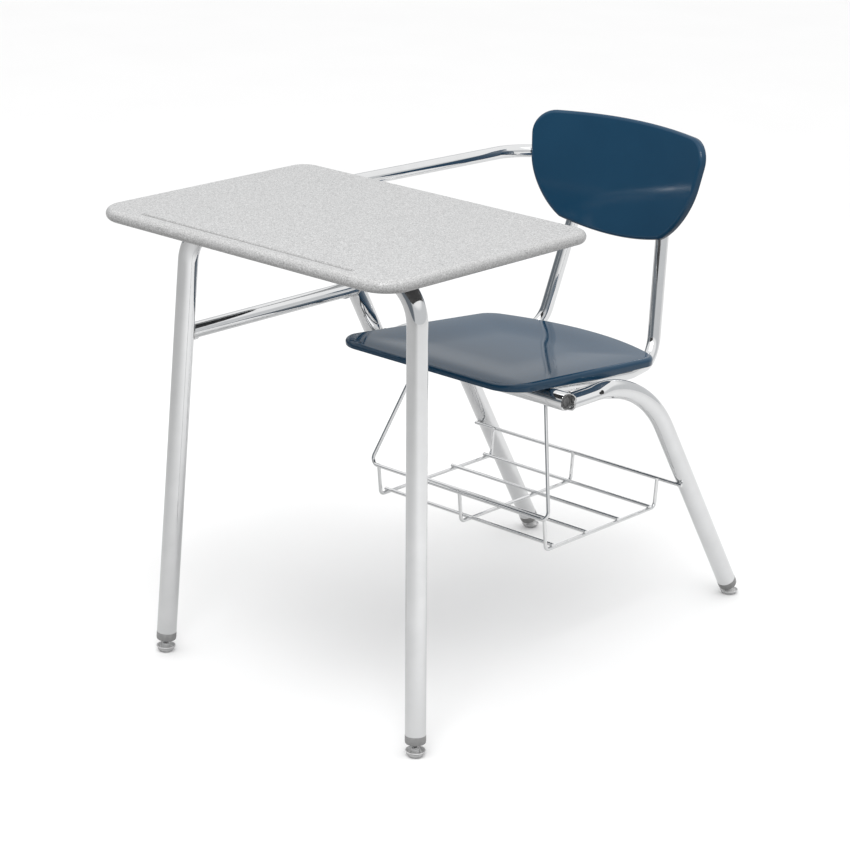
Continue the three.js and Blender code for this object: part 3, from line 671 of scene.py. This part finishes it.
upright_line = np.array([upright(-1, ARM_Z - 60), upright(-1, ARM_Z + 50)])
arm_end = upright(-1, ARM_Z) - vec(14, 0, 0)
arm_corners = [vec(*ARM[0]) + 24 * unit(vec(*ARM[1]) - vec(*ARM[0])), ARM[1],
               (arm_end[0], ARM[2][1] - 1, ARM_Z)]
parts, beads, _ = tube(arm_corners, [ARM_BEND], RAIL_R, 44,
                       copes=[(0, support_line, LEG_R), (1, upright_line, RAIL_R)])
piece("arm_bent_tube", parts, "chrome_tube", ["arm_tube"])
welds += beads
for i, weld in enumerate(welds, 1):
    obj = piece(f"weld_{i}", [weld], "chrome_tube")
    obj.data.materials[0] = WELD


# ---- moulded shells ----------------------------------------------------------------------------
def shell_outline(low, high, count):
    """Four-cornered outline with soft corners and bowed ends, from the low to the high end."""
    def bezier(p, q, r, s, n):
        t = np.linspace(0, 1, n, endpoint=False)[:, None]
        return (1 - t) ** 3 * p + 3 * (1 - t) ** 2 * t * q + 3 * (1 - t) * t ** 2 * r + t ** 3 * s

    def straight(p, q, n):
        return p + np.linspace(0, 1, n, endpoint=False)[:, None] * (q - p)

    a, b = vec(-low["half"], low["side"]), vec(low["half"], low["side"])
    c, d = vec(high["half"], high["side"]), vec(-high["half"], high["side"])
    low_mid = vec(0, 2 * low["middle"] - low["side"])
    high_mid = vec(0, 2 * high["middle"] - high["side"])
    points = []

    def corner(before, at, after, away):
        start, end = at + away * unit(before - at), at + away * unit(after - at)
        points.append(bezier(start, start + 0.56 * (at - start), end + 0.56 * (at - end), end, count))
        return start, end

    def bow(start, end, middle):
        via = vec(0, 2 * middle - end[1])
        third = 2 / 3
        points.append(bezier(start, start + third * (via - start), end + third * (via - end), end,
                             2 * count))

    _, a_end = corner(d, a, low_mid, low["corner"])
    b_start = b + low["corner"] * unit(low_mid - b)
    bow(a_end, b_start, low["middle"])
    _, b_end = corner(low_mid, b, c, low["corner"])
    c_start = c + high["corner"] * unit(b - c)
    points.append(straight(b_end, c_start, count))
    _, c_end = corner(b, c, high_mid, high["corner"])
    d_start = d + high["corner"] * unit(high_mid - d)
    bow(c_end, d_start, high["middle"])
    _, d_end = corner(high_mid, d, a, high["corner"])
    points.append(straight(d_end, a + low["corner"] * unit(d - a), count))
    return np.concatenate(points)


def inset_outline(outline, inset):
    ahead, behind = np.roll(outline, -1, 0), np.roll(outline, 1, 0)
    tangent = ahead - behind
    tangent /= np.linalg.norm(tangent, axis=1)[:, None]
    normal = np.column_stack([-tangent[:, 1], tangent[:, 0]])
    return outline + normal * inset


def smoothstep(x, low, high):
    t = np.clip((x - low) / (high - low), 0, 1)
    return t * t * (3 - 2 * t)


def shell(profile, outline, middle, place):
    """Rings from the middle of the top skin, over the rim and back under to the middle."""
    count = len(outline)
    verts, rows = [], []
    for share, inset, depth in profile:
        if share == 0:
            rows.append([len(verts)] * count)
            verts.append(place(middle[None], depth, 0.0)[0])
            continue
        q = middle + share * (inset_outline(outline, inset) - middle)
        rows.append(list(range(len(verts), len(verts) + count)))
        verts.extend(place(q, depth, share))
    faces = []
    for low, high in zip(rows, rows[1:]):
        for k in range(count):
            m = (k + 1) % count
            face = list(dict.fromkeys((low[k], high[k], high[m], low[m])))
            if len(face) > 2:
                faces.append(tuple(face))
    return np.array(verts), faces


def shell_profile(wall, skirt, rim, lip=2.0):
    """Top skin, rounded rim, skirt, rounded lower lip, underside."""
    inner = rim + 10
    top = [(0, 0, 0)] + [(s, inner, 0) for s in np.linspace(0.06, 1, 22)]
    top += [(1, inner - 4, 0), (1, inner - 8, -0.02)]
    edge = [(1, rim * (1 - math.sin(a)), -rim * (1 - math.cos(a)) * 0.95)
            for a in np.linspace(0.08, math.pi / 2, 12)]
    straight = [(1, 0.15 * k, -rim - (skirt - rim - lip) * k / 3) for k in range(1, 4)]
    turn = [(1, 0.45 + lip * (1 - math.cos(a)), -skirt + lip - lip * math.sin(a))
            for a in np.linspace(0.3, math.pi, 10)]
    inside = [(1, wall + 0.4, -skirt + 4.5), (1, wall + 1.5, -wall - 3), (1, wall + 5, -wall)]
    under = [(s, wall + 8, -wall) for s in np.linspace(1, 0.1, 10)] + [(0, 0, -wall)]
    return top + edge + straight + turn + inside + under


seat_outline = shell_outline(
    dict(half=SEAT["front_half"], side=SEAT["front_y"], middle=SEAT["front_y"],
         corner=SEAT["front_corner"]),
    dict(half=SEAT["rear_half"], side=SEAT["side_y"], middle=SEAT["rear_y"],
         corner=SEAT["rear_corner"]), 18)
seat_middle = vec(0, (SEAT["front_y"] + SEAT["rear_y"]) / 2)


def seat_place(q, depth, share):
    x, y = q[:, 0], q[:, 1]
    slope = (SEAT["rear_z"] - SEAT["front_z"]) / (SEAT["rear_y"] - SEAT["front_y"])
    plane = SEAT["front_z"] + slope * (y - SEAT["front_y"])
    hollow = SEAT["dish"] * (1 - smoothstep(share, 0.4, 1.0))
    to_front = np.clip((SEAT["front_y"] + SEAT["lip"] - y) / SEAT["lip"], 0, 1)
    deeper = 1 + SEAT["sag"] / SEAT["skirt"] * np.exp(-((y - SEAT["sag_y"]) / SEAT["sag_spread"]) ** 2)
    squeeze = 1 + (SEAT["front_skirt"] / SEAT["skirt"] - 1) * to_front
    z = plane - hollow - SEAT["lip_drop"] * to_front ** 2 + depth * deeper * squeeze
    return np.column_stack([x, y, z])


def boss(base, direction, length, radius=8.0):
    """A screw boss: a stout round post with a fillet at the skin."""
    profile = [(0, 0), (radius - 0.8, 0), (radius, 0.8), (radius, length - 3), (radius + 2.5, length),
               (0, length)]
    return turned(profile, base, direction, 32)


parts = [shell(shell_profile(SEAT["wall"], SEAT["skirt"], 7.0), seat_outline, seat_middle, seat_place)]
for side in (1, -1):
    for y in SEAT_SCREW_Y:
        base = rail(side, y) + vec(0, 0, RAIL_R + 0.4)
        top = seat_place(vec(base[0], y)[None], 0, 0.8)[0][2] - SEAT["wall"] + 1
        parts.append(boss(base, (0, 0, 1), top - base[2]))
piece("seat_shell_moulded", parts, "navy_plastic", ["seat_shell"], sharp=50)

back_outline = shell_outline(
    dict(half=BACK["low_half"], side=BACK["low_side_z"], middle=BACK["low_z"],
         corner=BACK["low_corner"]),
    dict(half=BACK["top_half"], side=BACK["top_side_z"], middle=BACK["top_z"],
         corner=BACK["top_corner"]), 18)
back_middle = vec(0, (BACK["low_z"] + BACK["top_z"]) / 2)


def back_skin_y(x, z):
    return BACK["y"] + BACK["lean"] * (z - BACK["at_z"]) - BACK["bow"] * x * x


def back_place(q, depth, _share):
    x, z = q[:, 0], q[:, 1]
    normal = np.column_stack([2 * BACK["bow"] * x, np.ones(len(x)), np.full(len(x), -BACK["lean"])])
    normal /= np.linalg.norm(normal, axis=1)[:, None]
    return np.column_stack([x, back_skin_y(x, z), z]) - depth * normal


verts, faces = shell(shell_profile(BACK["wall"], BACK["skirt"], 6.0), back_outline, back_middle,
                     back_place)
parts = [(verts, [f[::-1] for f in faces])]
for side in (1, -1):
    for z in BACK_SCREW_Z:
        post = upright(side, z)
        front = back_skin_y(post[0], z) + BACK["wall"] - 1
        rear = post[1] - RAIL_R - 0.5
        parts.append(boss((post[0], rear, z), (0, -1, 0), rear - front))
piece("backrest_shell_moulded", parts, "navy_plastic", ["backrest_shell"], sharp=50)


# ---- feet --------------------------------------------------------------------------------------
def collar(foot, up):
    bore, wide, sleeve = 4.3, LEG_R + 0.25, LEG_R - WALL - 0.2
    low, high = COLLAR_LOW, COLLAR_HIGH
    profile = [(bore, low + 1.5), (11.5, low + 1.5), (12.6, low), (wide - 2.2, low)]
    profile += arc(wide - 2.0, low + 1.6, 1.6, -90, 0, 6)
    profile += [(wide, low + 4), (wide, high - 0.7), (wide - 0.4, high),
                (sleeve, high + 0.05), (sleeve, high + 15), (sleeve - 1, high + 16),
                (bore, high + 16), (bore, low + 1.5)]
    return turned(profile, foot, up, 64)


def ball_stud(foot, up, pivot):
    ball, neck = 5.0, 2.2
    reach = math.degrees(math.acos(neck / ball))
    profile = arc(0, pivot, ball, -90, reach, 14)
    profile[0] = (0, pivot - ball)
    profile += [(neck, pivot + 6.4), (6.6, pivot + 6.5), (7, pivot + 6.9), (7, COLLAR_LOW - 0.1),
                (4, COLLAR_LOW - 0.1), (4, COLLAR_HIGH + 10), (0, COLLAR_HIGH + 10)]
    return turned(profile, foot, up, 40)


def glide(centre, rim):
    """A pressed saucer: a round rim at height `rim`, a hollow and the boss that grips the ball."""
    socket, high = 5.4, BALL_Z
    profile = [(0, 0.5), (7.2, 0.5), (8.2, 0), (9.6, 0), (11.0, 0.8), (13.2, 0.45 * rim), (14.9, rim - 1.1)]
    profile += arc(14.9, rim, 0.9, -20, 150, 8)
    profile += [(13.4, rim - 1.1), (11.9, 1.2 + 0.45 * rim), (10.4, 3.6), (9.0, 3.0), (7.9, 3.4),
                (7.1, 5.4), (6.8, 9), (6.6, 12.4), (6.3, 13.4), (5.6, 13.7)]
    profile += [(socket * math.cos(a), high + socket * math.sin(a))
                for a in np.linspace(math.radians(24), -math.pi / 2, 14)]
    profile[-1] = (0, high - socket)
    return turned(profile, (centre[0], centre[1], 0), (0, 0, 1), 72)


GLIDE_RIM = {front_leg: 9.3, rear_leg: 6.7}
for word, leg, side in (("front_left", front_leg, 1), ("front_right", front_leg, -1),
                        ("rear_left", rear_leg, 1), ("rear_right", rear_leg, -1)):
    foot = leg(side, 0)
    up = unit(leg(side, 1) - foot)
    pivot = BALL_Z / up[2]
    piece(f"foot_collar_{word}", [collar(foot, up)], "grey_plastic", [f"collar_{word}"])
    piece(f"foot_ball_stud_{word}", [ball_stud(foot, up, pivot)], "zinc_steel",
          [f"ball_stud_{word}"])
    saucer = piece(f"foot_glide_{word}", [glide(along(leg, side, pivot), GLIDE_RIM[leg])], "zinc_steel",
                   [f"glide_{word}"], body=f"glide_{word}_body")
    saucer.data.materials[0] = GLIDE_STEEL


# ---- book basket -------------------------------------------------------------------------------
def wire(corners, bends, radius, sides=20):
    """A bent wire with slightly rounded cut ends."""
    points, tangents = bent_path(corners, bends, step=6, run=40)
    ends = [points[0] + 0.5 * tangents[0], points[-1] - 0.5 * tangents[-1]]
    points = np.concatenate([points[:1], [ends[0]], points[1:-1], [ends[1]], points[-1:]])
    tangents = np.concatenate([tangents[:1], tangents[:1], tangents[1:-1], tangents[-1:], tangents[-1:]])
    radii = np.full(len(points), radius)
    radii[[0, -1]] = radius - 0.5
    return skin(rings_along(points, tangents, radii, sides))


B = BASKET
hang = (B["hang_half"], B["hang_y"], B["hang_z"])
front = (B["front_half"], B["front_y"], B["front_z"])
piece("basket_hanger_wire", [wire([(-hang[0], *hang[1:]), (-front[0], *front[1:]), front, hang],
                                  [12, 12], B["rail_r"], 24)], "chrome_tube", ["basket_hanger"])
piece("basket_rear_wire", [wire([(-B["rail_half"], B["rail_y"], B["rail_z"]),
                                 (B["rail_half"], B["rail_y"], B["rail_z"])], [], B["rail_r"], 24)],
      "chrome_tube", ["basket_rear_rail"])
beside = B["rail_r"] + B["rib_r"]
spots = []
for x, word in ((B["rib_x"], "left"), (0, "middle"), (-B["rib_x"], "right")):
    y_front, y_back = B["front_y"] + beside, B["rail_y"] - beside
    corners = [(x, y_front, B["front_z"]), (x, y_front + 7, B["rib_z"]),
               (x, y_back - 4, B["rib_z"]), (x, y_back, B["rail_z"] + 2)]
    piece(f"basket_rib_wire_{word}", [wire(corners, [B["rib_bend"]] * 2, B["rib_r"])], "chrome_tube",
          [f"basket_rib_{word}"])
    spots.append(drop((x, B["front_y"] + B["rail_r"], B["front_z"]), (3.2, 1.6, 2.6)))
    spots.append(drop((x, B["rail_y"] - B["rail_r"], B["rail_z"]), (3.2, 1.6, 2.6)))
rod_z = B["rib_z"] + 2 * B["rib_r"] - 0.05
for i in range(B["rods"]):
    y = B["rod_y"] + i * B["rod_pitch"]
    piece(f"basket_rod_wire_{i + 1}", [wire([(-B["rod_half"], y, rod_z), (B["rod_half"], y, rod_z)],
                                            [], B["rib_r"])], "chrome_tube", [f"basket_rod_{i + 1}"])
    spots += [drop((x, y, B["rib_z"] + B["rib_r"]), (2.7, 2.7, 1.5)) for x in
              (-B["rib_x"], 0, B["rib_x"])]
for side in (-1, 1):
    leg_x = rear_leg(side, B["rail_z"])[0]
    spots.append(drop((leg_x, B["rail_y"] + 1.5, B["rail_z"]), (6, 3.0, 4.2)))
    spots.append(drop((side * hang[0], hang[1], hang[2]), (4.0, 4.0, 3.0)))
spot_piece = piece("basket_weld_spots", spots, "chrome_tube")
spot_piece.data.materials[0] = WELD


# ---- studio ------------------------------------------------------------------------------------
def camera():
    yaw, pitch, roll = math.radians(41.70), math.radians(18.66), math.radians(1.53)
    forward = vec(-math.sin(yaw) * math.cos(pitch), math.cos(yaw) * math.cos(pitch), -math.sin(pitch))
    right = vec(math.cos(yaw), math.sin(yaw), 0)
    above = np.cross(right, forward)
    right_r = right * math.cos(roll) + above * math.sin(roll)
    above_r = -right * math.sin(roll) + above * math.cos(roll)
    data = bpy.data.cameras.new("photo_camera")
    data.lens, data.sensor_width = 109.82, 36
    data.clip_end = 60
    obj = bpy.data.objects.new("photo_camera", data)
    bpy.context.scene.collection.objects.link(obj)
    matrix = Matrix.Identity(4)
    for i, column in enumerate((right_r, above_r, -forward, vec(2.620, -3.0116, 1.713))):
        for row in range(3):
            matrix[row][i] = column[row]
    obj.matrix_world = matrix
    bpy.context.scene.camera = obj


def side_of_room(where, add):
    """How far a point or direction lies towards the viewer's right."""
    split = add("ShaderNodeSeparateXYZ", where)
    x, y, z = split.outputs
    right = add("ShaderNodeMath", add("ShaderNodeMath", x, 0.747, operation="MULTIPLY").outputs[0],
                add("ShaderNodeMath", y, 0.665, operation="MULTIPLY").outputs[0], operation="ADD")
    return right.outputs[0], z


def adder(tree):
    """A short call that adds a node, fills its first inputs and sets its options."""
    def add(kind, *values, **settings):
        node = tree.nodes.new(kind)
        for key, value in settings.items():
            setattr(node, key, value)
        for socket, value in zip(node.inputs, values):
            if isinstance(value, bpy.types.NodeSocket):
                tree.links.new(value, socket)
            elif value is not None:
                socket.default_value = value
        return node
    return add


def floor():
    """A wide white floor. What chrome shows of it falls off to the left, and little of its light
    is thrown back up under the object."""
    sides, radius = 128, 9000
    ring = [(radius * math.cos(2 * math.pi * k / sides), radius * math.sin(2 * math.pi * k / sides), 0)
            for k in range(sides)]
    mesh = bpy.data.meshes.new("studio_floor")
    mesh.from_pydata([tuple(c * MM for c in v) for v in ring], [], [tuple(range(sides))])
    n = Nodes("pale_floor")
    add = adder(n.tree)
    n.shader.inputs["Specular IOR Level"].default_value = 0.1
    paint = n.ramp(n.noise(3, 2), (0.3, grey(0.90)), (0.7, grey(0.91)))
    right, _ = side_of_room(n.where, add)
    fall = add("ShaderNodeMapRange", right, -1.9, 1.0, 0.0, 1.0, interpolation_type="SMOOTHSTEP")
    mirrored = n.ramp(fall.outputs["Result"], (0.0, grey(0.48)), (0.55, grey(0.63)), (1.0, grey(0.80)))
    path = n.add("ShaderNodeLightPath")
    colour = n.mix(path.outputs["Is Glossy Ray"], paint, mirrored)
    bounced = n.ramp(n.noise(3, 2), (0.3, grey(0.25)), (0.7, grey(0.27)))
    colour = n.mix(path.outputs["Is Diffuse Ray"], colour, bounced)
    roughness = n.spread(n.noise(4, 2), 0.85, 0.95)
    mesh.materials.append(n.finish(colour, roughness, n.bump(n.noise(200, 2), 0.02, 0.0002)))
    obj = bpy.data.objects.new("studio_floor", mesh)
    bpy.context.scene.collection.objects.link(obj)


def softbox(name, place, target, width, height, power):
    data = bpy.data.lights.new(name, "AREA")
    data.shape, data.size, data.size_y, data.energy = "RECTANGLE", width, height, power
    obj = bpy.data.objects.new(name, data)
    bpy.context.scene.collection.objects.link(obj)
    back = unit(vec(*place) - vec(*target))
    right = unit(np.cross(vec(0, 0, 1) if abs(back[2]) < 0.99 else vec(0, 1, 0), back))
    above = np.cross(back, right)
    matrix = Matrix.Identity(4)
    for i, column in enumerate((right, above, back, vec(*place))):
        for row in range(3):
            matrix[row][i] = column[row]
    obj.matrix_world = matrix


def studio_world():
    """A white room, with a dim backdrop and a dark strip at eye level on the left."""
    world = bpy.data.worlds.new("studio")
    bpy.context.scene.world = world
    world.use_nodes = True
    tree = world.node_tree
    add = adder(tree)

    def step(value, low, high):
        return add("ShaderNodeMapRange", value, low, high, 0.0, 1.0,
                   interpolation_type="SMOOTHSTEP").outputs["Result"]

    def combine(operation, a, b):
        return add("ShaderNodeMath", a, b, operation=operation).outputs[0]

    where = tree.nodes.new("ShaderNodeTexCoord").outputs["Generated"]
    right, z = side_of_room(where, add)
    level = combine("MULTIPLY", step(z, -0.3, -0.2), step(z, 0.4, 0.3))
    strip_ = combine("MULTIPLY", level, step(right, -0.25, -0.5))
    paths = tree.nodes.new("ShaderNodeLightPath").outputs
    strip_ = combine("MULTIPLY", strip_, paths["Is Glossy Ray"])
    low = combine("MULTIPLY", step(z, 0.5, 0.3), paths["Is Glossy Ray"])

    def mix(share, a, b):
        node = add("ShaderNodeMix", share, data_type="RGBA")
        for socket, value in ((node.inputs[6], a), (node.inputs[7], b)):
            if isinstance(value, tuple):
                socket.default_value = value
            else:
                tree.links.new(value, socket)
        return node.outputs[2]

    light = mix(low, (1, 1, 1, 1), (0.65, 0.66, 0.67, 1))
    light = mix(strip_, light, (0.15, 0.17, 0.19, 1))
    tree.links.new(light, tree.nodes["Background"].inputs["Color"])
    bright = combine("MULTIPLY_ADD", paths["Is Camera Ray"], -0.1)
    bright.node.inputs[2].default_value = 1.06
    tree.links.new(bright, tree.nodes["Background"].inputs["Strength"])


camera()
floor()
studio_world()
softbox("top_softbox", (0.3, -1.1, 3.4), (0, 0, 0.4), 3.0, 3.0, 20)
softbox("key_softbox", (1.0, -1.5, 3.2), (0, 0, 0.4), 1.0, 1.0, 30)
bpy.context.scene.view_settings.view_transform = "Standard"
